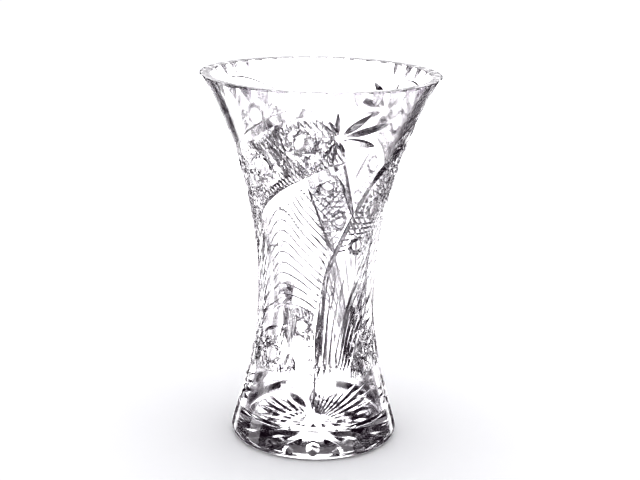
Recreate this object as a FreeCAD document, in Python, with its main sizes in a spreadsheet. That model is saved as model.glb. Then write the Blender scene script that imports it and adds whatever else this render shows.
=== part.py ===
import FreeCAD, Part
import math
import os

import Sketcher
from FreeCAD import Placement, Rotation, Vector

# Cut crystal vase: one heavy glass vessel, a flared trumpet above a waist with a conical foot below.
# Frame: origin at the centre of the face it stands on, +Z up, -Y to the front. Sizes in millimetres.
# The cutting is wheel work: round flutes under the lip, a star of round-bottomed rays under the
# foot, and V-bottomed mitres in a sweeping motif that comes three times round the wall.

DIMENSIONS = {
    # the vessel
    "height": 250.0,
    "waist_height": 100.0,
    "waist_radius": 39.6,
    "flare_curve": 303.0,
    "foot_curve": 230.0,
    "foot_slope": 15.3,
    "wall": 6.0,
    "floor_thickness": 14.0,
    "floor_corner": 9.0,
    "foot_rounding": 5.0,
    "lip_rounding": 1.2,
    # the flutes under the lip
    "flute_count": 40,
    "flute_depth": 0.7,
    "flute_length": 11.0,
    "flute_wheel": 25.0,
    # the star under the foot
    "star_rays": 16,
    "star_depth": 2.2,
    "star_middle": 32.0,
    "star_ray": 36.0,
    "star_half_angle": 60.0,
    # the mitres
    "motifs": 3,
    "mitre_half_angle": 52.0,
    "largest_wheel": 400.0,
    "wheel_clearance": 1.0,
}

doc = FreeCAD.newDocument("cut_crystal_vase")
sheet = doc.addObject("Spreadsheet::Sheet", "Dimensions")
for row, (alias, value) in enumerate(DIMENSIONS.items(), start=1):
    sheet.set(f"A{row}", alias)
    sheet.set(f"B{row}", str(value))
    sheet.setAlias(f"B{row}", alias)
doc.recompute()

START, END, CENTRE = 1, 2, 3
H_AXIS, V_AXIS = -1, -2


def dim(alias):
    return float(sheet.get(alias))


def origin_part(body, role):
    return next(f for f in body.Origin.OriginFeatures if f.Role == role)


def new_sketch(body, name, plane, offset=None):
    """A sketch on one of the body's own origin planes."""
    sketch = body.newObject("Sketcher::SketchObject", name)
    sketch.AttachmentSupport = [(origin_part(body, plane), "")]
    sketch.MapMode = "FlatFace"
    if offset:
        sketch.AttachmentOffset = offset
    return sketch


def constrain(sketch, kind, *where, name=None, expression=None):
    """One constraint; a named one can follow the dimension sheet."""
    index = sketch.addConstraint(Sketcher.Constraint(kind, *where))
    if name:
        sketch.renameConstraint(index, name)
    if expression:
        sketch.setExpression(f"Constraints.{name}", expression)


# ------------------------------------------------------------------ the outer wall as a surface

def wall_lean(z):
    """The wall's lean from upright at height z, in radians: positive where it widens upward."""
    rise = z - dim("waist_height")
    if rise >= 0:
        return math.asin(rise / dim("flare_curve"))
    return -min(math.asin(-rise / dim("foot_curve")), math.radians(dim("foot_slope")))


def wall_curve(z):
    """Curvature of the wall's outline at height z: negative where it is hollow."""
    rise = z - dim("waist_height")
    if rise >= 0:
        return -1 / dim("flare_curve")
    hollow = -rise < dim("foot_curve") * math.sin(math.radians(dim("foot_slope")))
    return -1 / dim("foot_curve") if hollow else 0.0


def wall_radius(z):
    rise = z - dim("waist_height")
    lean = wall_lean(z)
    curve = dim("flare_curve") if rise >= 0 else dim("foot_curve")
    radius = dim("waist_radius") + curve * (1 - math.cos(lean))
    straight_fall = max(0.0, -rise - curve * math.sin(-lean))
    return radius + straight_fall * math.tan(-lean)


def wall_point(turn, z):
    """A point of the outer wall; turn is in degrees from the front, towards +X."""
    angle, radius = math.radians(turn), wall_radius(z)
    return Vector(radius * math.sin(angle), -radius * math.cos(angle), z)


def wall_normal(turn, z):
    angle, lean = math.radians(turn), wall_lean(z)
    return Vector(math.cos(lean) * math.sin(angle), -math.cos(lean) * math.cos(angle), -math.sin(lean))


# ------------------------------------------------------------------ the turned vessel

def vessel_section(body):
    """Half the vessel's section: underside, outer wall, lip, inner wall and floor."""
    sketch = new_sketch(body, "VesselSection", "XZ_Plane")
    height, waist_z, waist_r = dim("height"), dim("waist_height"), dim("waist_radius")
    flare, foot, wall = dim("flare_curve"), dim("foot_curve"), dim("wall")
    floor, corner, slope = dim("floor_thickness"), dim("floor_corner"), math.radians(dim("foot_slope"))

    def on(centre, radius, angle):
        return centre + Vector(radius * math.cos(angle), radius * math.sin(angle), 0)

    def arc(centre, radius, start, end):
        return Part.ArcOfCircle(Part.Circle(centre, Vector(0, 0, 1), radius), start, end)

    def down_cone(point, z):
        return Vector(point.x + (point.y - z) * math.tan(slope), z, 0)

    flare_centre, foot_centre = Vector(waist_r + flare, waist_z, 0), Vector(waist_r + foot, waist_z, 0)
    lip_angle = math.pi - math.asin((height - waist_z) / flare)
    inner_lip_angle = math.pi - math.asin((height - waist_z) / (flare + wall))
    foot_angle = math.pi + slope
    foot_top = on(foot_centre, foot, foot_angle)
    cavity_top = on(foot_centre, foot + wall, foot_angle)
    corner_top = down_cone(cavity_top, floor + corner * (1 - math.sin(slope)))
    corner_centre = on(corner_top, corner, math.pi - slope)
    axis_foot, axis_floor = Vector(0, 0, 0), Vector(0, floor, 0)
    (underside, cone, hollow, trumpet, lip, inner_trumpet, inner_hollow, inner_cone, rounding, bottom,
     axis) = range(11)
    lip_outside = on(flare_centre, flare, lip_angle)
    lip_inside = on(flare_centre, flare + wall, inner_lip_angle)
    sketch.addGeometry([
        Part.LineSegment(axis_foot, down_cone(foot_top, 0)),
        Part.LineSegment(down_cone(foot_top, 0), foot_top),
        arc(foot_centre, foot, math.pi, foot_angle),
        arc(flare_centre, flare, lip_angle, math.pi),
        Part.LineSegment(lip_outside, lip_inside),
        arc(flare_centre, flare + wall, inner_lip_angle, math.pi),
        arc(foot_centre, foot + wall, math.pi, foot_angle),
        Part.LineSegment(cavity_top, corner_top),
        arc(corner_centre, corner, -math.pi / 2, -slope),
        Part.LineSegment(Vector(corner_centre.x, floor, 0), axis_floor),
        Part.LineSegment(axis_floor, axis_foot),
    ], False)
    for join in [(underside, START, H_AXIS, START), (underside, END, cone, START),
                 (trumpet, START, lip, START), (lip, END, inner_trumpet, START),
                 (bottom, END, axis, START), (axis, END, underside, START),
                 (trumpet, CENTRE, inner_trumpet, CENTRE), (hollow, CENTRE, inner_hollow, CENTRE)]:
        constrain(sketch, "Coincident", *join)
    for join in [(cone, END, hollow, END), (hollow, START, trumpet, END),
                 (inner_trumpet, END, inner_hollow, START), (inner_hollow, END, inner_cone, START),
                 (inner_cone, END, rounding, END), (rounding, START, bottom, START)]:
        constrain(sketch, "Tangent", *join)
    for flat in (underside, lip, bottom):
        constrain(sketch, "Horizontal", flat)
    constrain(sketch, "Parallel", inner_cone, cone)
    constrain(sketch, "Vertical", axis)
    sizes = [
        ("Radius", (trumpet, flare), "Flare", "Dimensions.flare_curve"),
        ("Radius", (hollow, foot), "Hollow", "Dimensions.foot_curve"),
        ("Radius", (rounding, corner), "Corner", "Dimensions.floor_corner"),
        ("DistanceX", (H_AXIS, START, trumpet, END, waist_r), "WaistRadius", "Dimensions.waist_radius"),
        ("DistanceY", (H_AXIS, START, trumpet, CENTRE, waist_z), "Waist", "Dimensions.waist_height"),
        ("DistanceY", (H_AXIS, START, trumpet, END, waist_z), "WaistLevel", "Dimensions.waist_height"),
        ("DistanceY", (H_AXIS, START, lip, START, height), "Height", "Dimensions.height"),
        ("DistanceX", (inner_hollow, START, trumpet, END, wall), "Wall", "Dimensions.wall"),
        ("DistanceY", (H_AXIS, START, axis, START, floor), "Floor", "Dimensions.floor_thickness"),
        ("Angle", (V_AXIS, cone, slope), "Slope", "Dimensions.foot_slope * 1 deg"),
    ]
    for kind, where, name, expression in sizes:
        constrain(sketch, kind, *where, name=name, expression=expression)
    return sketch


def ring_edges(shape, z, radius_low, radius_high):
    """Names of the circular edges about the vessel's axis at height z, within a band of radii."""
    names = []
    for number, edge in enumerate(shape.Edges, start=1):
        curve = edge.Curve
        if curve.TypeId != "Part::GeomCircle" or abs(curve.Center.z - z) > 0.01:
            continue
        if radius_low < curve.Radius < radius_high:
            names.append(f"Edge{number}")
    return names


def turn_vessel(body):
    section = vessel_section(body)
    vessel = body.newObject("PartDesign::Revolution", "Vessel")
    vessel.Profile = section
    vessel.ReferenceAxis = (origin_part(body, "Z_Axis"), [""])
    vessel.Angle = 360
    doc.recompute()
    inner_lip = dim("height"), dim("waist_radius"), wall_radius(dim("height")) - dim("lip_rounding")
    outer_foot = 0.0, dim("waist_radius"), wall_radius(0.0) + 1
    for name, place, alias in (("FootRounding", outer_foot, "foot_rounding"),
                               ("LipRounding", inner_lip, "lip_rounding")):
        rounding = body.newObject("PartDesign::Fillet", name)
        rounding.Base = (vessel, ring_edges(vessel.Shape, *place))
        rounding.setExpression("Radius", f"Dimensions.{alias}")
        doc.recompute()
        vessel = rounding
    return vessel


# ------------------------------------------------------------------ the cutting wheels

def frame_at(origin, x_axis, y_axis):
    """The offset that lays a sketch on two given directions."""
    return Placement(origin, Rotation(x_axis, y_axis, x_axis.cross(y_axis), "XYZ"))


def pattern(body, features, name, alias):
    """Repeats cuts round the vessel."""
    polar = body.newObject("PartDesign::PolarPattern", name)
    polar.Originals = features
    polar.Axis = (origin_part(body, "Z_Axis"), [""])
    polar.Angle = 360
    polar.setExpression("Occurrences", f"Dimensions.{alias}")
    body.Tip = polar
    doc.recompute()
    return polar


def cut_flutes(body):
    """Round-bottomed flutes that start at the lip and run out below it."""
    lip, depth, wheel = dim("height"), dim("flute_depth"), dim("flute_wheel")
    length = dim("flute_length")
    # the wall curves away from a straight cut, which leans in a little more to run out in its length
    tilt = wall_lean(lip) - math.atan(depth / length + length / (2 * dim("flare_curve")))
    along = Vector(0, -math.sin(tilt), math.cos(tilt))
    outward = Vector(0, -math.cos(tilt), -math.sin(tilt))
    deepest = wall_point(0, lip) - wall_normal(0, lip) * depth
    centre = deepest + outward * wheel + along * length
    sketch = new_sketch(body, "FluteSection", "XY_Plane", frame_at(centre, Vector(1, 0, 0), outward))
    sketch.addGeometry(Part.Circle(Vector(0, 0, 0), Vector(0, 0, 1), wheel), False)
    constrain(sketch, "Coincident", 0, CENTRE, H_AXIS, START)
    constrain(sketch, "Radius", 0, wheel, name="Wheel", expression="Dimensions.flute_wheel")
    flute = body.newObject("PartDesign::Pocket", "Flute")
    flute.Profile = sketch
    flute.Reversed = True
    flute.setExpression("Length", "4 * Dimensions.flute_length")
    doc.recompute()
    return pattern(body, [flute], "Flutes", "flute_count")


def wheel_pass(body, name, centre, axle, contact, wheel, depth, length, angle_alias):
    """One pass of a V-edged wheel; contact is the direction from its centre to the cut."""
    rise = 1.5 * depth + dim("wheel_clearance")
    half = rise * math.tan(math.radians(dim(angle_alias)))
    sketch = new_sketch(body, f"{name}Edge", "XY_Plane", frame_at(centre, axle, contact))
    tip, left, right = Vector(0, wheel, 0), Vector(-half, wheel - rise, 0), Vector(half, wheel - rise, 0)
    sketch.addGeometry([Part.LineSegment(tip, left), Part.LineSegment(left, right),
                        Part.LineSegment(right, tip)], False)
    for join in ((0, END, 1, START), (1, END, 2, START), (2, END, 0, START)):
        constrain(sketch, "Coincident", *join)
    constrain(sketch, "Symmetric", 1, START, 1, END, V_AXIS)
    constrain(sketch, "PointOnObject", 0, START, V_AXIS)
    constrain(sketch, "DistanceY", H_AXIS, START, 0, START, wheel, name="Wheel")
    constrain(sketch, "DistanceY", 1, END, 0, START, rise, name="Rise")
    constrain(sketch, "DistanceX", H_AXIS, START, 1, END, half, name="Face",
              expression=f".Constraints.Rise * tan(Dimensions.{angle_alias} * 1 deg)")
    cut = body.newObject("PartDesign::Groove", name)
    cut.Profile = sketch
    cut.ReferenceAxis = (sketch, ["H_Axis"])
    cut.Midplane = True
    # the pass runs on past each end of its cut by a tenth of the length, where it is out of the glass
    cut.Angle = 2 * math.degrees(math.asin(min(1.0, 0.6 * length / wheel)))
    return cut


def cut_star(body):
    """The star under the foot: mitres that point at its middle."""
    depth, length = dim("star_depth"), dim("star_ray")
    wheel = length ** 2 / (8 * depth)
    centre = Vector(0, -dim("star_middle"), depth - wheel)
    ray = wheel_pass(body, "StarRay", centre, Vector(1, 0, 0), Vector(0, 0, 1), wheel, depth, length,
                     "star_half_angle")
    doc.recompute()
    return pattern(body, [ray], "Star", "star_rays")


# ------------------------------------------------------------------ the motif on the wall

def mitre(body, start, end, depth):
    """One V-bottomed cut on the wall from start to end, each (turn, height)."""
    turn, z = (start[0] + end[0]) / 2, (start[1] + end[1]) / 2
    reach = wall_point(*end) - wall_point(*start)
    outward = wall_normal(turn, z)
    along = (reach - outward * reach.dot(outward)).normalize()
    hoop = Vector(math.cos(math.radians(turn)), math.sin(math.radians(turn)), 0)
    round_share = along.dot(hoop) ** 2
    bulge = round_share * math.cos(wall_lean(z)) / wall_radius(z) + (1 - round_share) * wall_curve(z)
    wheel = 1 / max(8 * depth / reach.Length ** 2 - bulge, 1 / dim("largest_wheel"))
    centre = wall_point(turn, z) + outward * (wheel - depth)
    number = sum(feature.TypeId == "PartDesign::Groove" for feature in body.Group)
    return wheel_pass(body, f"Mitre{number}", centre, outward.cross(along), -outward, wheel, depth,
                      reach.Length, "mitre_half_angle")


def from_middle(middle, heading, distance):
    """The wall position at a distance from a middle; heading is in degrees, 0 to +turn, 90 up."""
    turn, z = middle
    climb = distance * math.sin(math.radians(heading)) * math.cos(wall_lean(z))
    sweep = distance * math.cos(math.radians(heading)) / wall_radius(z)
    return turn + math.degrees(sweep), z + climb


def star_of(body, middle, rays, near, depth):
    """Mitres that leave one middle; each ray is its heading and how far out it ends."""
    return [mitre(body, from_middle(middle, heading, near), from_middle(middle, heading, far), depth)
            for heading, far in rays]


def hobstar(body, middle, radius, depth=1.1, sides=4, reach=1.6):
    """Crossing mitres that pass a middle at one distance, so that a button stands up between them."""
    cuts = []
    bottom = radius + 0.6 * depth
    for side in range(sides):
        heading = 45 + 360 * side / sides
        nearest = from_middle(middle, heading, bottom)
        ends = [from_middle(nearest, heading + way, reach * radius) for way in (-90, 90)]
        cuts.append(mitre(body, *ends, depth))
    return cuts


def sweep(body, line, depth, overlap=0.08):
    """A long curved line cut as short mitres that run into each other."""
    cuts = []
    for (turn_a, z_a), (turn_b, z_b) in zip(line, line[1:]):
        turn_step, z_step = overlap * (turn_b - turn_a), overlap * (z_b - z_a)
        start, end = (turn_a - turn_step, z_a - z_step), (turn_b + turn_step, z_b + z_step)
        cuts.append(mitre(body, start, end, depth))
    return cuts


# The motif's places on the wall, each a turn in degrees and a height.
BAND_UPPER = [(0, 60), (6, 105), (17, 140), (38, 180), (60, 208), (80, 222), (104, 235.5), (128, 239)]
BAND_LOWER = [(18, 56), (30, 95), (48, 134), (68, 163), (85, 176), (110, 190), (138, 203)]
HOBSTARS = [((37, 143), 3.9), ((51, 167), 4.8), ((65, 184), 5.2), ((79, 196), 6.5), ((111, 214), 6.3),
            ((76, 66), 5.0)]
LEAF_STAR = (130.5, 219)
SUNBURST = (1, 26)


def band(body):
    """The sweeping band: its two edges, the stars that it carries and the lines that part them."""
    cuts = sweep(body, BAND_UPPER, 1.2) + sweep(body, BAND_LOWER, 1.4)
    for middle, radius in HOBSTARS:
        cuts += hobstar(body, middle, radius)
    cuts += sweep(body, [(81, 216), (100, 185)], 1.3) + sweep(body, [(89, 222), (104, 189)], 1.2)
    return cuts


def comet_tails(body, tails=4):
    """Long mitres that stream up beside the band from the foot."""
    cuts = []
    for start, end in (((2.5, 54), (9, 112)), ((8, 54.5), (16, 120)), ((13, 54.5), (27, 122))):
        cuts.append(mitre(body, start, end, 1.5))
    for tail in range(tails):
        share = tail / (tails - 1)
        foot, tip = (19 + 10 * share, 55 + 2 * share), (70 + 2 * share, 158 - 59 * share)
        bend = (48 + 8 * share, 130 - 40 * share)
        cuts += sweep(body, [foot, bend, tip], 1.3)
    return cuts


def cut_motif(body):
    cuts = band(body) + comet_tails(body)
    cuts += star_of(body, LEAF_STAR, [(43, 25.5), (15, 35), (-15, 28.5)], 3.0, 2.2)
    cuts += star_of(body, LEAF_STAR, [(96, 20.5), (135, 20), (205, 13), (-97, 18), (-66, 16)], 1.5, 1.2)
    cuts += star_of(body, SUNBURST, [(82, 20), (60, 21), (41, 29), (26, 38), (10, 30), (146, 26), (166, 32)],
                    5.0, 1.0)
    doc.recompute()
    return pattern(body, cuts, "Motifs", "motifs")


def main():
    body = doc.addObject("PartDesign::Body", "vase")
    body.Label = "vase"
    for step in (turn_vessel, cut_motif, cut_flutes, cut_star):
        step(body)
    body.Placement = Placement(Vector(0, 0, 0), Rotation())
    doc.recompute()
    os.makedirs("parts", exist_ok=True)
    for thing in doc.Objects:
        if "Invalid" in thing.State or "Error" in thing.State:
            raise ValueError(f"{thing.Label} did not compute: {thing.State}")
    shape = body.Shape
    if shape.isNull() or not shape.isValid():
        raise ValueError("the vase is not a sound solid")
    shape.exportStep(f"parts/{body.Label}.step")


main()
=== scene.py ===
import math

import bpy
import numpy as np
from mathutils import Matrix, Vector


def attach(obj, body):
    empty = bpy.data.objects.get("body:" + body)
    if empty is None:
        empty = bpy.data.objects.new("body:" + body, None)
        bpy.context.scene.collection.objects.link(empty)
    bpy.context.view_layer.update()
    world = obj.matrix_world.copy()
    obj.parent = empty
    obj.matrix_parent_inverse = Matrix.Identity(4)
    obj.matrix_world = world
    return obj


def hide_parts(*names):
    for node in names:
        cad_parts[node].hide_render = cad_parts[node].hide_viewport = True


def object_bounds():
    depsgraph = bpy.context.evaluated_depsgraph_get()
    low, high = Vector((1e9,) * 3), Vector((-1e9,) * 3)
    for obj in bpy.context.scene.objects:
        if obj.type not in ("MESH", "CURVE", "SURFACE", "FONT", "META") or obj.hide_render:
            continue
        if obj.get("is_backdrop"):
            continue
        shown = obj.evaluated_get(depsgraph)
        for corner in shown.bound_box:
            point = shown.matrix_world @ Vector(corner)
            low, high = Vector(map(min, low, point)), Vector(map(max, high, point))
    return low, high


# Cut crystal vase. The CAD solid gives the vessel's size and place; the visual piece is the same vessel
# with all of its wheel cutting. Lengths in this script are millimetres until a mesh is made from them.

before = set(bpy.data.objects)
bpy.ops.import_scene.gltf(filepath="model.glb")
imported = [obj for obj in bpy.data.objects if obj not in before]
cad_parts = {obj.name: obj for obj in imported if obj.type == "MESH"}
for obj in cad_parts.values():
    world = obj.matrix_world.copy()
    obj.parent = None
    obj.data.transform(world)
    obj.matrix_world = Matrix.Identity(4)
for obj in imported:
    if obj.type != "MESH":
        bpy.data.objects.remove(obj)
cad_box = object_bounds()

MM = 0.001


def plain(value):
    """Vectors and lists of them as plain lists of numbers."""
    return [plain(part) for part in value] if hasattr(value, "__len__") else float(value)


# ------------------------------------------------------------------ the vessel's form

HEIGHT = (cad_box[1][2] - cad_box[0][2]) / MM
WAIST_HEIGHT = 0.4 * HEIGHT
WAIST_RADIUS = 39.6
FLARE_CURVE = 303.0
FOOT_CURVE = 230.0
FOOT_SLOPE = math.radians(15.3)
WALL = 6.0
FLOOR = 14.0
FLOOR_CORNER = 9.0
FOOT_ROUNDING = 5.0
LIP_ROUNDING = 1.2

FLUTES = 40
FLUTE_DEPTH = 0.7
FLUTE_LENGTH = 11.0
FLUTE_WHEEL = 25.0
STAR_RAYS = 16
STAR_DEPTH = 2.2
STAR_MIDDLE = 32.0
STAR_RAY = 36.0
MOTIFS = 3          # the cut motif comes this many times round the wall


def wall_lean(z):
    """Lean of the outer wall from upright, in radians: positive where it widens upward."""
    rise = np.asarray(z, float) - WAIST_HEIGHT
    up = np.arcsin(np.clip(rise, 0, FLARE_CURVE) / FLARE_CURVE)
    down = np.minimum(np.arcsin(np.clip(-rise, 0, FOOT_CURVE) / FOOT_CURVE), FOOT_SLOPE)
    return np.where(rise >= 0, up, -down)


def wall_radius(z):
    rise = np.asarray(z, float) - WAIST_HEIGHT
    lean = wall_lean(z)
    curve = np.where(rise >= 0, FLARE_CURVE, FOOT_CURVE)
    straight = np.clip(-rise - curve * np.sin(-lean), 0, None)
    return WAIST_RADIUS + curve * (1 - np.cos(lean)) + straight * np.tan(-lean) * (rise < 0)


def wall_point(turn, z):
    """Points of the outer wall; turn is in degrees from the front (-Y) towards +X."""
    angle, radius = np.radians(turn), wall_radius(z)
    return np.stack([radius * np.sin(angle), -radius * np.cos(angle), np.asarray(z, float)], -1)


def wall_normal(turn, z):
    angle, lean = np.radians(turn), wall_lean(z)
    return np.stack([np.cos(lean) * np.sin(angle), -np.cos(lean) * np.cos(angle), -np.sin(lean)], -1)


def arc(centre, radius, start, end, steps):
    """Points (radius, height) along an arc in the vessel's section."""
    angles = np.linspace(start, end, steps + 1)
    return [(centre[0] + radius * math.cos(a), centre[1] + radius * math.sin(a)) for a in angles]


def vessel_outline():
    """The turned section from the middle of the underside round to the middle of the floor inside."""
    inner_lean = math.asin((HEIGHT - WAIST_HEIGHT) / (FLARE_CURVE + WALL))
    inner_lip_radius = WAIST_RADIUS + FLARE_CURVE - (FLARE_CURVE + WALL) * math.cos(inner_lean)
    foot_inset = FOOT_ROUNDING / math.tan((math.pi / 2 - FOOT_SLOPE) / 2)
    foot_centre = (float(wall_radius(0)) - foot_inset, FOOT_ROUNDING)
    points = [(0.0, 0.0), (10.0, 0.0), (20.0, 0.0), (32.0, 0.0), (44.0, 0.0)]
    points += arc(foot_centre, FOOT_ROUNDING, -math.pi / 2, FOOT_SLOPE, 8)
    start = points[-1][1]
    heights = np.linspace(start, HEIGHT, 52)[1:]
    points += [(float(wall_radius(z)), float(z)) for z in heights]
    lip_inset = LIP_ROUNDING / math.tan((math.pi / 2 + inner_lean) / 2)
    lip_centre = (inner_lip_radius + lip_inset, HEIGHT - LIP_ROUNDING)
    points += arc(lip_centre, LIP_ROUNDING, math.pi / 2, math.pi - inner_lean, 5)
    inner_top = points[-1][1]
    hollow_end = WAIST_HEIGHT - (FOOT_CURVE + WALL) * math.sin(FOOT_SLOPE)
    for z in np.linspace(inner_top, hollow_end, 26)[1:]:
        rise = z - WAIST_HEIGHT
        curve = FLARE_CURVE if rise >= 0 else FOOT_CURVE
        points.append((WAIST_RADIUS + curve - math.sqrt((curve + WALL) ** 2 - rise ** 2), float(z)))
    corner_top_z = FLOOR + FLOOR_CORNER * (1 - math.sin(FOOT_SLOPE))
    last = points[-1]
    corner_top = (last[0] + (last[1] - corner_top_z) * math.tan(FOOT_SLOPE), corner_top_z)
    centre = (corner_top[0] - FLOOR_CORNER * math.cos(FOOT_SLOPE), FLOOR + FLOOR_CORNER)
    points += arc(centre, FLOOR_CORNER, -FOOT_SLOPE, -math.pi / 2, 10)
    points += [(24.0, FLOOR), (12.0, FLOOR), (0.0, FLOOR)]
    return points


# ------------------------------------------------------------------ grooves cut by a V-edged wheel

CLEARANCE = 0.45    # how far a cutter stands out of the surface that it cuts
GROOVE_STEP = 2.4   # spacing of a cutter's sections along its path
RUN_IN = 0.12       # the share of a groove's length in which a drawn wheel reaches its depth
BUTTON_RIM = 0.6    # the share of its depth that a hobstar's cut lies outside the button


def lens(along, depth):
    """A wheel dipped once into the glass: deepest half way."""
    return depth * 4 * along * (1 - along)


def even(along, depth):
    """A wheel drawn along the glass: one depth, with short run-outs."""
    return depth * np.minimum(1.0, np.minimum(along, 1 - along) / RUN_IN)


def comet(along, depth):
    """Deep soon after its start, then thinning out to its far end."""
    return depth * np.where(along < RUN_IN, along / RUN_IN, ((1 - along) / (1 - RUN_IN)) ** 0.45)


def smooth_path(points, step=0.8, spans=12):
    """A smooth curve through wall positions (turn, z), sampled evenly along the glass."""
    points = np.asarray(points, float)
    if len(points) > 2:
        ends = np.vstack([2 * points[0] - points[1], points, 2 * points[-1] - points[-2]])
        fine = []
        for p0, p1, p2, p3 in zip(ends, ends[1:], ends[2:], ends[3:]):
            u = np.linspace(0, 1, spans, endpoint=False)[:, None]
            fine.append(0.5 * (2 * p1 + (p2 - p0) * u + (2 * p0 - 5 * p1 + 4 * p2 - p3) * u ** 2
                               + (3 * p1 - p0 - 3 * p2 + p3) * u ** 3))
        points = np.vstack(fine + [points[-1:]])
    spots = wall_point(points[:, 0], points[:, 1])
    run = np.concatenate([[0], np.cumsum(np.linalg.norm(np.diff(spots, axis=0), axis=1))])
    marks = np.linspace(0, run[-1], max(3, int(run[-1] / step) + 1))
    return np.stack([np.interp(marks, run, points[:, i]) for i in (0, 1)], -1)


def path_length(path):
    return float(np.linalg.norm(np.diff(wall_point(path[:, 0], path[:, 1]), axis=0), axis=1).sum())


def pieces_where(path, keep, shortest=3.0):
    """The stretches of a path where keep says yes."""
    wanted = keep(path)
    pieces, start = [], None
    for index, yes in enumerate(list(wanted) + [False]):
        if yes and start is None:
            start = index
        elif not yes and start is not None:
            piece = path[start:index]
            if len(piece) > 2 and path_length(piece) >= shortest:
                pieces.append(piece)
            start = None
    return pieces


def ring_sections(spots, outward, depths, half_angles):
    """Triangular cutter sections along a line of surface spots: bottom, left and right corner each.
    The half angles are the left and the right side's, from the groove's middle plane."""
    along = np.gradient(spots, axis=0)
    across = np.cross(outward, along)
    across /= np.linalg.norm(across, axis=1)[:, None]
    bottom = spots - outward * depths[:, None]
    top = spots + outward * CLEARANCE
    left, right = (across * ((CLEARANCE + depths) * math.tan(angle))[:, None] for angle in half_angles)
    return np.stack([bottom, top + left, top - right], 1)


def groove(path, depth, half_angle=52, profile=lens, step=GROOVE_STEP):
    """A cutter along a path of wall positions; half_angle is in degrees, one for both of the groove's sides
    or a pair."""
    length = path_length(path)
    count = max(5, int(round(length / step)) + 1)
    along = np.linspace(0, 1, count)
    # the sections are closer together at the ends, where the depth changes fastest
    along = 0.5 - 0.5 * np.cos(math.pi * along) * (1 - 0.25 * np.sin(math.pi * along) ** 2)
    run = np.linspace(0, 1, len(path))
    turns, heights = (np.interp(along, run, path[:, i]) for i in (0, 1))
    depths = np.asarray(profile(along, depth), float)
    # both ends rise out of the glass
    depths[0] = depths[-1] = -0.4 * CLEARANCE
    return ring_sections(wall_point(turns, heights), wall_normal(turns, heights), depths,
                         np.radians(half_angle) * np.ones(2))


def turned(sections, degrees):
    """The sections turned about the vessel's axis."""
    c, s = math.cos(math.radians(degrees)), math.sin(math.radians(degrees))
    return sections @ np.array([[c, -s, 0], [s, c, 0], [0, 0, 1]]).T


def cutter_mesh(cutters):
    """One closed mesh from cutters that don't touch each other."""
    verts, faces = [], []
    for sections in cutters:
        base = len(verts)
        verts.extend(sections.reshape(-1, 3) * MM)
        rings = len(sections)
        for ring in range(rings - 1):
            a, b = base + 3 * ring, base + 3 * ring + 3
            for i, j in ((0, 1), (1, 2), (2, 0)):
                faces.append((a + i, a + j, b + j))
                faces.append((a + i, b + j, b + i))
        last = base + 3 * (rings - 1)
        faces.append((base, base + 2, base + 1))
        faces.append((last, last + 1, last + 2))
    mesh = bpy.data.meshes.new("cutters")
    mesh.from_pydata([tuple(v) for v in verts], [], faces)
    mesh.update()
    return mesh


def sort_apart(cutters, copies, gap=0.25):
    """Puts cutters in as few batches as it can, with none touching another in its own batch."""
    batches = []
    for sections in cutters:
        turns = [turned(sections, 360 * k / copies) for k in range(copies)]
        middle = sections.mean(axis=1)
        size = np.linalg.norm(sections - middle[:, None], axis=2).max(axis=1)
        for batch in batches:
            distance = np.linalg.norm(batch["middles"][:, None] - middle[None], axis=2)
            if (distance > batch["sizes"][:, None] + size[None] + gap).all():
                break
        else:
            batch = {"cutters": [], "middles": np.zeros((0, 3)), "sizes": np.zeros(0)}
            batches.append(batch)
        batch["cutters"] += turns
        batch["middles"] = np.vstack([batch["middles"]] + [t.mean(axis=1) for t in turns])
        batch["sizes"] = np.concatenate([batch["sizes"]] + [size] * copies)
    return [batch["cutters"] for batch in batches]


# ------------------------------------------------------------------ the cut motif

# Two long mitres bound the sweeping band: it climbs from the foot, curls over and ends at a leaf star.
# Wall positions are (turn in degrees, height).
BAND_UPPER = [(0, 60), (3, 85), (6, 105), (10, 125), (17, 140), (24, 153), (30, 164), (38, 180), (47, 195),
              (60, 208), (80, 222), (100, 234), (114, 238.5), (128, 239)]
BAND_LOWER = [(18, 56), (22, 72), (30, 95), (40, 115), (48, 134), (58, 150), (68, 163), (82, 174), (98, 184),
              (110, 190), (120, 195.5), (130, 200), (138, 203)]
BAND_HOBS = [((37, 143), 3.9), ((51, 167), 4.8), ((65, 184), 5.2), ((79, 196), 6.5), ((111, 214), 6.3)]
LOW_HOBS = [((47, 58), 3.8), ((59, 74), 4.0), ((76, 66), 5.0), ((106, 88), 4.3)]
WEDGE_HOBS = [((126, 184), 4.5), ((138, 160), 3.5)]
LEAF_STAR = (130.5, 219)
SUNBURST = (1, 26)
HOURGLASS = (96, 70)


def from_middle(middle, heading, distance):
    """The wall position at a distance from a middle; heading in degrees, 0 to +turn, 90 up."""
    turn, z = middle
    climb = distance * math.sin(math.radians(heading)) * math.cos(float(wall_lean(z)))
    sweep = distance * math.cos(math.radians(heading)) / float(wall_radius(z))
    return turn + math.degrees(sweep), z + climb


def straight(start, end):
    """The straightest path on the wall between two positions."""
    return smooth_path([start, end])


def distance_from(path, middle):
    return np.linalg.norm(wall_point(path[:, 0], path[:, 1]) - wall_point(*middle), axis=1)


def inside(outline, path):
    """Which positions of a path lie inside an outline, both given as (turn, height)."""
    outline = np.asarray(outline, float)
    turn, z = path[:, 0, None], path[:, 1, None]
    first, second = outline, np.roll(outline, -1, axis=0)
    spans = (first[:, 1] > z) != (second[:, 1] > z)
    rise = np.where(second[:, 1] == first[:, 1], 1.0, second[:, 1] - first[:, 1])
    crossing = first[:, 0] + (z - first[:, 1]) / rise * (second[:, 0] - first[:, 0])
    return (spans & (turn < crossing)).sum(axis=1) % 2 == 1


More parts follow.
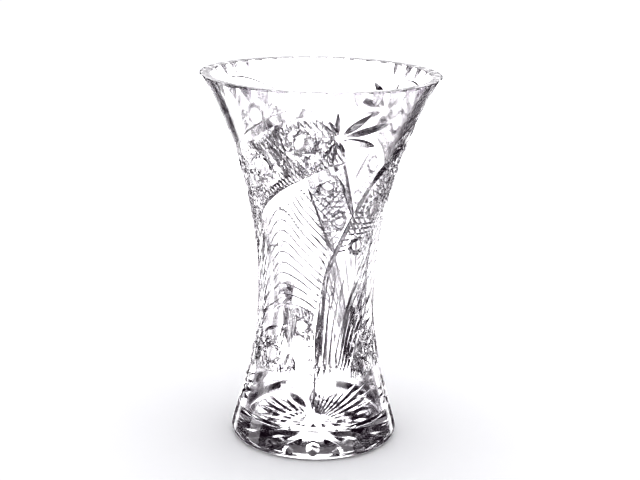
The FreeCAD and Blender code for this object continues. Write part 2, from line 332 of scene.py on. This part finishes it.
def within(outline, hobs=(), margin=1.0):
    """A test that keeps what lies inside an outline and clear of the hobstars' middles."""
    def keep(path):
        yes = inside(outline, path)
        for middle, radius in hobs:
            yes &= distance_from(path, middle) > radius * margin
        return yes
    return keep


def lowered(line, drop):
    """A line of wall positions moved down the wall."""
    return [(turn, z - drop) for turn, z in line]


BAND_AREA = BAND_UPPER[3:7] + lowered(BAND_UPPER[7:], 6.0) + BAND_LOWER[:3:-1] + [(37, 129), (26, 126)]
LOW_AREA = [(33, 51), (47, 50), (60, 52), (90, 54), (90, 84), (80, 80), (62, 77), (56, 88), (46, 80),
            (34, 63)]
HIGH_AREA = [(92, 76), (121, 76), (121, 97), (110, 103), (92, 102)]
WEDGE_AREA = [(113, 184), (118, 172), (124, 158), (131, 144), (134, 140), (140, 150), (146, 166), (142, 177),
              (137, 186), (132, 193), (120, 189)]


def hobstar(middle, radius, area, depth=1.1, points=12, reach=1.95):
    """A star of straight cuts that all pass a middle at one distance, so that a round button stands up
    between them."""
    cuts = []
    passing = radius + BUTTON_RIM * depth
    half = radius * math.sqrt(reach ** 2 - 1)
    for k in range(points):
        heading = 360 * k / points
        foot = from_middle(middle, heading, passing)
        ends = [from_middle(foot, heading + 90, side * half) for side in (-1, 1)]
        for piece in pieces_where(straight(*ends), within(area), shortest=4.0):
            cuts.append(groove(piece, depth, 50))
    return cuts


def hatch(first, second, count, slants, keep, depth=0.7):
    """Fine cuts that cross both ways between two lines; a slant is how many steps a cut leans over."""
    first, second = smooth_path(first, 0.5), smooth_path(second, 0.5)
    cuts = []
    for slant in slants:
        for k in range(count + 1):
            if 0 <= k + slant <= count:
                start = first[int((len(first) - 1) * k / count)]
                end = second[int((len(second) - 1) * (k + slant) / count)]
                for piece in pieces_where(straight(start, end), keep):
                    cuts.append(groove(piece, depth, 48, even))
    return cuts


def band_hatch():
    return hatch(BAND_UPPER[4:], BAND_LOWER[4:], 40, (-4, 4), within(BAND_AREA, BAND_HOBS, 1.9))


def band_edges():
    """The band's two edges: deep mitres low down, then wide bevels, steep above and gentle below."""
    cuts = [groove(smooth_path(BAND_UPPER[:9]), 1.2, 58, even),
            groove(smooth_path(BAND_LOWER[:6]), 1.5, 52, even)]
    for line in (BAND_UPPER[7:], BAND_LOWER[5:]):
        cuts.append(groove(smooth_path(line), 1.2, (44, 78), even))
    return cuts


def parting():
    """Three long mitres that part the two largest hobstars."""
    lines = (([(81, 216), (90, 206), (96, 196), (100, 185)], 1.3),
             ([(86, 219), (92, 208), (98, 196), (102, 188)], 0.6),
             ([(89, 222), (92.5, 211), (97, 200), (104, 189)], 1.2))
    return [groove(smooth_path(line), depth, 50) for line, depth in lines]


def comet_tails():
    """Long mitres that stream up from beside the band's foot, some of them on into the feather fan."""
    cuts = []
    for line in ([(2.5, 54), (5, 75), (7, 95), (9, 112)], [(8, 54.5), (10.5, 75), (13, 98), (16, 120)],
                 [(13, 54.5), (16, 75), (20, 97), (27, 122)]):
        cuts.append(groove(smooth_path(line), 1.5, 52, comet))
    cuts.append(groove(smooth_path([(13, 96), (16, 109), (19, 120), (23, 131)]), 0.8, 52))
    tails = 7
    for k in range(tails):
        s = k / (tails - 1)
        line = [(19 + 10 * s, 55 + 2 * s), (32 + 8 * s, 93 - 16 * s), (48 + 8 * s, 130 - 40 * s),
                (70 + 2 * s, 158 - 59 * s)]
        if k % 2:
            line = line[1:]
        if k == 2:
            line.append((89, 143))
        if k == tails - 1:
            line.append((87, 107))
        cuts.append(groove(smooth_path(line), 1.3, 48, comet))
    # a leaf-shaped cut along the upper edge of the low field
    cuts.append(groove(smooth_path([(60, 76), (70, 82), (84, 86)]), 1.0, 54))
    return cuts


def swelling(along, depth):
    """Thin for most of its length, then deeper towards its far end."""
    ends = np.minimum(1.0, np.minimum(along, 1 - along) / (RUN_IN / 2))
    return depth * (0.5 + 0.5 * along ** 5) * ends


def feather_fan():
    """Nested arching lines between the band's lower edge and the next motif's upper edge."""
    below, beside = smooth_path(BAND_LOWER, 0.5), smooth_path(BAND_UPPER, 0.5)
    start = 73  # the turn at which the fan's lines begin

    def keep(path):
        ceiling = np.interp(path[:, 0], below[:, 0], below[:, 1])
        edge = np.interp(path[:, 1], beside[:, 1], beside[:, 0]) + 360 / MOTIFS
        return (path[:, 1] < ceiling - 7) & (path[:, 0] < edge - 1.0) & (path[:, 0] > start)

    cuts = []
    lines = 17
    for k in range(lines):
        f = 1.9 * k / (lines - 1)
        points = [(68, 92 + 52 * f), (84 + 5 * f, 101 + 63 * f), (104 + 3 * f, 102 + 48 * f),
                  (122 + 7 * f, 95 + 38 * f)]
        for piece in pieces_where(smooth_path(points), keep, shortest=6):
            cuts.append(groove(piece, 0.65, 54, swelling, 3.0))
    return cuts


def notched_lines():
    """Short crosswise nicks in rows that step across the feather fan."""
    cuts = []
    for line in ([(107, 183), (111, 179), (117, 172)], [(88, 169), (95, 166), (101, 160), (107, 153)],
                 [(120, 163), (125, 154), (130, 144)]):
        line = smooth_path(line)
        nicks = int(path_length(line) / 2.3)
        for k in range(nicks):
            spot = line[int((len(line) - 1) * (k + 0.5) / nicks)]
            ends = [from_middle(spot, 35, reach) for reach in (-1.5, 1.5)]
            cuts.append(groove(straight(*ends), 0.8, 46))
    return cuts


def star_of(middle, rays, depth, half_angle=52, near=1.5):
    """Cuts that leave one middle; each ray is its heading in degrees and how far out it ends."""
    cuts = []
    for heading, reach in rays:
        ends = [from_middle(middle, heading, distance) for distance in (near, reach)]
        cuts.append(groove(straight(*ends), depth, half_angle))
    return cuts


def leaf_star():
    """Long leaf-shaped cuts about one middle where the band runs out."""
    large = [(43, 25.5), (15, 35), (-15, 28.5)]
    small = [(96, 20.5), (135, 20), (115, 15), (-66, 16), (-97, 18), (180, 12), (205, 13), (239, 19)]
    return star_of(LEAF_STAR, large, 2.2, 54, 3.0) + star_of(LEAF_STAR, small, 1.2, 52)


def wedge_field():
    """A hanging wedge of small stars and hatching below the band's end."""
    cuts = [groove(smooth_path([(131, 195), (137, 186), (142, 177), (147, 165)]), 1.2, 50),
            groove(smooth_path([(112, 186), (118, 172), (124, 158), (131, 144), (134, 139)]), 0.7, 54, even)]
    keep = within(WEDGE_AREA, WEDGE_HOBS, 1.7)
    right_side = [(131, 196), (147, 165), (140, 145)]
    return cuts + hatch([(112, 187), (134, 139)], right_side, 12, (-2, 2), keep, 0.42)


def low_field():
    """Hatching between the stars in the field above the foot, with an hourglass of mitres in it."""
    keep = within(LOW_AREA, LOW_HOBS, 1.7)
    cuts = hatch([(33, 51), (60, 51), (90, 53)], [(33, 66), (46, 82), (62, 82), (90, 85)], 22, (-3, 3), keep)
    keep = within(HIGH_AREA, LOW_HOBS, 1.7)
    cuts += hatch([(94, 78), (119, 78)], [(94, 101), (119, 101)], 8, (-2, 2), keep, 0.5)
    upward = [(103, 30), (96, 31), (90, 30), (82, 29)]
    downward = [(-108, 14), (-96, 15), (-84, 15), (-68, 14)]
    cuts += star_of(HOURGLASS, upward, 1.5, 52, 2.0) + star_of(HOURGLASS, downward, 1.5, 52, 0.5)
    for z in (56, 66, 75):
        cuts.append(groove(straight((113, z), (119, z)), 0.9, 50))
    return cuts


def sunburst():
    """Rays that fan out from low on the foot."""
    rays = [(82, 20), (71, 20), (60, 21), (50, 23), (41, 29), (34, 42), (26, 47), (18, 50), (10, 48), (2, 42),
            (146, 26), (158, 36), (166, 42), (174, 44), (182, 40), (190, 33)]
    cuts = star_of(SUNBURST, rays, 1.0, 68, 5.0)
    cuts.append(groove(straight((-1, 33), (0, 66)), 0.6, 64, even))
    return cuts


# ------------------------------------------------------------------ the carved vessel

def mesh_object(name, mesh):
    """A new object in the scene for a mesh."""
    thing = bpy.data.objects.new(name, mesh)
    bpy.context.scene.collection.objects.link(thing)
    return thing


def turned_vessel(sides=160):
    """The uncut vessel, turned from its outline."""
    outline = vessel_outline()
    mesh = bpy.data.meshes.new("vessel")
    verts, faces = [(0.0, 0.0, outline[0][1] * MM)], []
    for radius, z in outline[1:-1]:
        for side in range(sides):
            angle = 2 * math.pi * side / sides
            verts.append((radius * math.sin(angle) * MM, -radius * math.cos(angle) * MM, z * MM))
    verts.append((0.0, 0.0, outline[-1][1] * MM))
    rings = len(outline) - 2
    for side in range(sides):
        beside = (side + 1) % sides
        faces.append((0, 1 + beside, 1 + side))
        for ring in range(rings - 1):
            low, high = 1 + ring * sides, 1 + (ring + 1) * sides
            faces.append((low + side, low + beside, high + beside, high + side))
        top = 1 + (rings - 1) * sides
        faces.append((top + side, top + beside, len(verts) - 1))
    mesh.from_pydata(verts, [], faces)
    mesh.update()
    return mesh


def flute_cutters():
    """Round-bottomed cutters that start above the lip and run out below it, in two batches."""
    lean = float(wall_lean(HEIGHT))
    # the wall curves away from a straight cutter, so the cutter leans in a little more to run out in time
    tilt = lean - math.atan(FLUTE_DEPTH / FLUTE_LENGTH + FLUTE_LENGTH / (2 * FLARE_CURVE))
    along = np.array([0, -math.sin(tilt), math.cos(tilt)])
    outward = np.array([0, -math.cos(tilt), -math.sin(tilt)])
    deepest = wall_point(0, HEIGHT) - wall_normal(0, HEIGHT) * FLUTE_DEPTH
    angles = np.radians(np.linspace(-18, 18, 11))
    across = np.array([1, 0, 0])
    section = [FLUTE_WHEEL * (math.sin(a) * across + (1 - math.cos(a)) * outward) for a in angles]
    ends = [deepest + along * FLUTE_LENGTH, deepest - along * 2 * FLUTE_LENGTH]
    bars = np.array([[end + offset for offset in section] for end in ends])
    batches = []
    for parity in (0, 1):
        verts, faces = [], []
        for k in range(parity, FLUTES, 2):
            base, corners = len(verts), len(section)
            verts.extend(turned(bars, 360 * k / FLUTES).reshape(-1, 3) * MM)
            near, far = range(base, base + corners), range(base + corners, base + 2 * corners)
            faces.append(tuple(near))
            faces.append(tuple(reversed(far)))
            for i in range(corners):
                j = (i + 1) % corners
                faces.append((near[j], near[i], far[i], far[j]))
        mesh = bpy.data.meshes.new("flutes")
        mesh.from_pydata([tuple(v) for v in verts], [], faces)
        batches.append(mesh)
    return batches


def star_cutters():
    """The rays under the foot; each cutter is a little longer than its ray, so its ends clear the glass."""
    reach = np.linspace(-0.5, 0.5, 15) * 1.06
    depths = STAR_DEPTH * (1 - (2 * reach) ** 2)
    spots = np.stack([0 * reach, -(STAR_MIDDLE + reach * STAR_RAY), 0 * reach], -1)
    downward = np.tile([0.0, 0.0, -1.0], (len(reach), 1))
    ray = ring_sections(spots, downward, depths, np.radians([60, 60]))
    return [turned(ray, 360 * k / STAR_RAYS) for k in range(STAR_RAYS)]


def carve(mesh, cutters):
    """The mesh with every cutter taken away from it."""
    work = mesh_object("work", mesh)
    tools = []
    for cutter in cutters:
        tool = mesh_object("tool", cutter)
        modifier = work.modifiers.new("cut", "BOOLEAN")
        modifier.operation = "DIFFERENCE"
        modifier.solver = "MANIFOLD"
        modifier.object = tool
        tools.append(tool)
    graph = bpy.context.evaluated_depsgraph_get()
    carved = bpy.data.meshes.new_from_object(work.evaluated_get(graph))
    for thing in [work] + tools:
        data = thing.data
        bpy.data.objects.remove(thing)
        bpy.data.meshes.remove(data)
    return carved


def inner_wall(z):
    """Radius and lean of the inside wall."""
    rise = np.asarray(z, float) - WAIST_HEIGHT
    curve = np.where(rise >= 0, FLARE_CURVE, FOOT_CURVE)
    bend = np.sqrt(np.clip((curve + WALL) ** 2 - rise ** 2, 1, None))
    radius = WAIST_RADIUS + curve - bend
    end = -(FOOT_CURVE + WALL) * math.sin(FOOT_SLOPE)
    end_radius = WAIST_RADIUS + FOOT_CURVE - (FOOT_CURVE + WALL) * math.cos(FOOT_SLOPE)
    radius = np.where(rise < end, end_radius + (end - rise) * math.tan(FOOT_SLOPE), radius)
    lean = np.where(rise < end, -FOOT_SLOPE, np.arcsin(np.clip(rise / (curve + WALL), -1, 1)))
    return radius, lean


def set_normals(mesh, sharp=math.radians(24)):
    """Sharp edges where facets meet, and the true turned surface's normals wherever it is left uncut."""
    on_wall = 0.03      # a corner this near to the wall, in millimetres, may belong to it
    aligned = math.cos(math.radians(7))
    for polygon in mesh.polygons:
        polygon.use_smooth = True
    mesh.set_sharp_from_angle(angle=sharp)
    loops = len(mesh.loops)
    spots = np.empty(3 * len(mesh.vertices))
    mesh.vertices.foreach_get("co", spots)
    corner_vertex = np.empty(loops, int)
    mesh.loops.foreach_get("vertex_index", corner_vertex)
    normals = np.empty(3 * loops)
    mesh.corner_normals.foreach_get("vector", normals)
    face_normals = np.empty(3 * len(mesh.polygons))
    mesh.polygons.foreach_get("normal", face_normals)
    totals = np.empty(len(mesh.polygons), int)
    mesh.polygons.foreach_get("loop_total", totals)
    corner_face = np.repeat(np.arange(len(mesh.polygons)), totals)
    at = spots.reshape(-1, 3)[corner_vertex] / MM
    normals = normals.reshape(-1, 3)
    facing = face_normals.reshape(-1, 3)[corner_face]
    radius = np.hypot(at[:, 0], at[:, 1])
    away = at[:, :2] / np.maximum(radius, 1e-6)[:, None]
    inner_radius, inner_lean = inner_wall(at[:, 2])
    outer_lean = wall_lean(at[:, 2])
    surfaces = (
        (np.abs(radius - wall_radius(at[:, 2])) < on_wall, outer_lean, 1.0, FOOT_ROUNDING * 1.3),
        (np.abs(radius - inner_radius) < on_wall, inner_lean, -1.0, FLOOR + FLOOR_CORNER),
    )
    for near, lean, side, lowest in surfaces:
        true = side * np.column_stack([away * np.cos(lean)[:, None], -np.sin(lean)])
        agrees = (true * facing).sum(axis=1) > aligned
        whole = near & agrees & (at[:, 2] > lowest)
        # a face counts as uncut only when all its corners do
        count = np.bincount(corner_face, weights=whole, minlength=len(totals))
        use = (count >= totals - 0.5)[corner_face]
        normals[use] = true[use]
    mesh.normals_split_custom_set([tuple(n) for n in normals])


def mark_inside(mesh):
    """Gives the inside wall and floor the second material slot."""
    count = len(mesh.polygons)
    middles = np.empty(3 * count)
    mesh.polygons.foreach_get("center", middles)
    middles = middles.reshape(-1, 3) / MM
    radius = np.hypot(middles[:, 0], middles[:, 1])
    deep = radius < wall_radius(middles[:, 2]) - 0.6 * WALL
    inner = deep & (middles[:, 2] > FLOOR - 0.5) & (middles[:, 2] < HEIGHT - LIP_ROUNDING)
    mesh.polygons.foreach_set("material_index", inner.astype(np.int32))


def cut_crystal():
    """The vase: the turned vessel with its whole cutting carved into it."""
    cuts = band_edges() + parting() + leaf_star() + comet_tails() + sunburst()
    fields = ((BAND_HOBS, BAND_AREA, 1.1), (LOW_HOBS[:3], LOW_AREA, 1.1), (LOW_HOBS[3:], HIGH_AREA, 0.8),
              (WEDGE_HOBS, WEDGE_AREA, 0.7))
    for hobs, area, depth in fields:
        for middle, radius in hobs:
            cuts += hobstar(middle, radius, area, depth)
    cuts += feather_fan() + notched_lines() + band_hatch() + wedge_field() + low_field()
    batches = sort_apart(cuts, MOTIFS)
    tools = flute_cutters() + [cutter_mesh(star_cutters())] + [cutter_mesh(batch) for batch in batches]
    mesh = carve(turned_vessel(), tools)
    mesh.name = "cut_crystal_vase"
    set_normals(mesh)
    return mesh_object("cut_crystal_vase", mesh)


# ------------------------------------------------------------------ materials

def new_material(name):
    """A material with its nodes, links and main shader."""
    material = bpy.data.materials.new(name)
    material.use_nodes = True
    nodes = material.node_tree.nodes
    return material, nodes, material.node_tree.links, nodes["Principled BSDF"]


def mottle(nodes, links, scale, low, high):
    """A value that drifts between low and high over the surface."""
    place = nodes.new("ShaderNodeTexCoord")
    noise = nodes.new("ShaderNodeTexNoise")
    noise.inputs["Scale"].default_value = scale
    noise.inputs["Detail"].default_value = 3.0
    links.new(place.outputs["Object"], noise.inputs["Vector"])
    spread = nodes.new("ShaderNodeMapRange")
    spread.inputs["From Min"].default_value = 0.3
    spread.inputs["From Max"].default_value = 0.7
    spread.inputs["To Min"].default_value = low
    spread.inputs["To Max"].default_value = high
    links.new(noise.outputs["Fac"], spread.inputs["Value"])
    return spread.outputs["Result"]


def blend(nodes, links, factor, first, second):
    """A colour between two, as the factor says."""
    mix = nodes.new("ShaderNodeMix")
    mix.data_type = "RGBA"
    one, two = [socket for socket in mix.inputs if socket.type == "RGBA"]
    one.default_value, two.default_value = first, second
    links.new(factor, mix.inputs["Factor"])
    return [socket for socket in mix.outputs if socket.type == "RGBA"][0]


def ripple(nodes, links, scale, strength, distance):
    """Faint unevenness of a surface; the distance is its height in metres."""
    bump = nodes.new("ShaderNodeBump")
    bump.inputs["Strength"].default_value = strength
    bump.inputs["Distance"].default_value = distance
    links.new(mottle(nodes, links, scale, 0.0, 1.0), bump.inputs["Height"])
    return bump.outputs["Normal"]


def crystal_material(name, roughness, ripple_scale, ripple_strength):
    """Lead crystal: faintly rose-grey, with a polish and a surface ripple that vary over the glass."""
    material, nodes, links, glass = new_material(name)
    clear, rose_grey = (0.99, 0.985, 0.992, 1), (0.965, 0.952, 0.97, 1)
    tint = blend(nodes, links, mottle(nodes, links, 40.0, 0.0, 1.0), clear, rose_grey)
    links.new(tint, glass.inputs["Base Color"])
    links.new(mottle(nodes, links, 150.0, *roughness), glass.inputs["Roughness"])
    links.new(ripple(nodes, links, ripple_scale, ripple_strength, 0.0005), glass.inputs["Normal"])
    glass.inputs["Transmission Weight"].default_value = 1.0
    glass.inputs["IOR"].default_value = 1.55
    return material


def floor_material():
    """Smooth white board with a faint mottle and grain."""
    material, nodes, links, board = new_material("white_sweep")
    white, off_white = (1.0, 1.0, 1.0, 1), (0.985, 0.985, 0.99, 1)
    tone = blend(nodes, links, mottle(nodes, links, 3.0, 0.0, 1.0), white, off_white)
    links.new(tone, board.inputs["Base Color"])
    board.inputs["Specular IOR Level"].default_value = 0.0
    links.new(mottle(nodes, links, 25.0, 0.5, 0.65), board.inputs["Roughness"])
    links.new(ripple(nodes, links, 400.0, 0.05, 0.0002), board.inputs["Normal"])
    return material


# ------------------------------------------------------------------ the vase

vase = cut_crystal()
vase.data.materials.clear()
vase.data.materials.append(crystal_material("polished_cuts", (0.0, 0.02), 90.0, 0.02))
vase.data.materials.append(crystal_material("pressed_inside", (0.09, 0.125), 45.0, 0.04))
mark_inside(vase.data)
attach(vase, "root")
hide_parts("vase")


# ------------------------------------------------------------------ stage, lights and camera

# white panels round the vase: bearing of the middle, half width, lowest and highest elevation, in degrees,
# and the panel's share of full brightness
PANELS = ((-1, 19.5, -17, 5, 1), (-1, 9, -45, -17, 1), (0, 8, 5, 14, 0.35), (-40, 6.5, -21, -11, 1),
          (-51, 7, -36, -17, 1), (40, 7, -22, -11, 1), (-90.5, 10.5, -11, 8, 1), (169.5, 45.5, -35, 5, 1))
PANEL_EDGE = 1.5        # half the width, in degrees, over which a panel fades out
FLOOR_LIGHT = -60       # the glass sees light from the floor below this elevation
FLOOR_FADE = 2          # half the width, in degrees, over which that light fades out
PANEL_LIGHT = 3.2


def white_floor(edge=6.0, gap=0.0002):
    """A wide white floor just under the vase, which the glass itself doesn't see."""
    mesh = bpy.data.meshes.new("floor")
    corners = [(-edge, -edge, 0), (edge, -edge, 0), (edge, edge, 0), (-edge, edge, 0)]
    mesh.from_pydata(corners, [], [(0, 1, 2, 3)])
    floor = mesh_object("floor", mesh)
    floor.location.z = cad_box[0][2] - gap
    mesh.materials.append(floor_material())
    floor.visible_transmission = False
    floor.visible_glossy = False
    floor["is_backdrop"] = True


def soft_light(name, place, aim, size, power):
    """A rectangular lamp at a place, turned to an aim; its size is in metres and its power in watts."""
    light = bpy.data.lights.new(name, "AREA")
    light.shape = "RECTANGLE"
    light.size, light.size_y = size
    light.energy = power
    lamp = bpy.data.objects.new(name, light)
    lamp.location = place
    lamp.rotation_euler = (Vector(aim) - Vector(place)).to_track_quat("-Z", "Y").to_euler()
    bpy.context.scene.collection.objects.link(lamp)


def studio_world():
    """White to the eye and for soft light. What the glass sees is a few white panels in a dark room, so that
    its facets are drawn in light and dark."""
    world = bpy.data.worlds.new("studio")
    bpy.context.scene.world = world
    world.cycles.sampling_method = "NONE"
    world.use_nodes = True
    nodes, links = world.node_tree.nodes, world.node_tree.links

    def reckon(operation, *values):
        node = nodes.new("ShaderNodeMath")
        node.operation = operation
        for socket, value in zip(node.inputs, values):
            if isinstance(value, (int, float)):
                socket.default_value = value
            else:
                links.new(value, socket)
        return node.outputs[0]

    def ease(value, low, high):
        node = nodes.new("ShaderNodeMapRange")
        node.interpolation_type = "SMOOTHSTEP"
        links.new(value, node.inputs["Value"])
        node.inputs["From Min"].default_value = low
        node.inputs["From Max"].default_value = high
        return node.outputs["Result"]

    place = nodes.new("ShaderNodeTexCoord")
    split = nodes.new("ShaderNodeSeparateXYZ")
    links.new(place.outputs["Generated"], split.inputs[0])
    east, north, up = split.outputs
    bearing = reckon("DEGREES", reckon("ARCTAN2", east, north))
    climb = reckon("DEGREES", reckon("ARCSINE", up))
    white = reckon("SUBTRACT", 1.0, ease(climb, FLOOR_LIGHT - FLOOR_FADE, FLOOR_LIGHT + FLOOR_FADE))
    for middle, half_width, lowest, highest, share in PANELS:
        aside = reckon("ABSOLUTE", reckon("WRAP", reckon("SUBTRACT", bearing, middle), 180.0, -180.0))
        across = reckon("SUBTRACT", 1.0, ease(aside, half_width - PANEL_EDGE, half_width + PANEL_EDGE))
        above = ease(climb, lowest - PANEL_EDGE, lowest + PANEL_EDGE)
        below = reckon("SUBTRACT", 1.0, ease(climb, highest - PANEL_EDGE, highest + PANEL_EDGE))
        lit = reckon("MULTIPLY", across, reckon("MULTIPLY", above, below))
        white = reckon("MAXIMUM", white, reckon("MULTIPLY", lit, share))
    shade = nodes.new("ShaderNodeMix")
    shade.data_type = "RGBA"
    dark_room, panel = [socket for socket in shade.inputs if socket.type == "RGBA"]
    dark_room.default_value = (0.03, 0.017, 0.03, 1)
    panel.default_value = (PANEL_LIGHT, PANEL_LIGHT, 1.01 * PANEL_LIGHT, 1)
    links.new(white, shade.inputs["Factor"])
    seen = nodes.new("ShaderNodeBackground")
    links.new([socket for socket in shade.outputs if socket.type == "RGBA"][0], seen.inputs["Color"])
    backdrop = nodes["Background"]
    backdrop.inputs["Color"].default_value = (1.0, 0.998, 1.02, 1)
    path = nodes.new("ShaderNodeLightPath")
    mix = nodes.new("ShaderNodeMixShader")
    to_the_eye = reckon("MAXIMUM", path.outputs["Is Camera Ray"], path.outputs["Is Diffuse Ray"])
    links.new(to_the_eye, mix.inputs["Fac"])
    links.new(seen.outputs[0], mix.inputs[1])
    links.new(backdrop.outputs[0], mix.inputs[2])
    links.new(mix.outputs[0], nodes["World Output"].inputs["Surface"])


def front_camera(place, down, roll):
    """A camera in front of the vase that looks down at it; down and roll are in degrees."""
    data = bpy.data.cameras.new("camera")
    data.sensor_width = 36
    data.lens = 78.75
    camera = bpy.data.objects.new("camera", data)
    camera.location = place
    aim = Matrix.Rotation(math.radians(90 - down), 4, "X") @ Matrix.Rotation(math.radians(roll), 4, "Z")
    camera.rotation_euler = aim.to_euler()
    bpy.context.scene.collection.objects.link(camera)
    return camera


white_floor()
soft_light("overhead", (0, 0.3, 1.8), (0, 0, 0.1), (1.6, 1.6), 3)
studio_world()

scene = bpy.context.scene
bpy.context.scene.camera = front_camera((0.00175, -0.91334, 0.38671), down=15.3, roll=1.3)
scene.view_settings.view_transform = "Standard"
scene.view_settings.look = "Very High Contrast"
scene.view_settings.exposure = -0.7
scene.cycles.max_bounces = 32
scene.cycles.transmission_bounces = 32
scene.cycles.glossy_bounces = 12

{"cad": plain(cad_box), "visual": plain(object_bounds())}
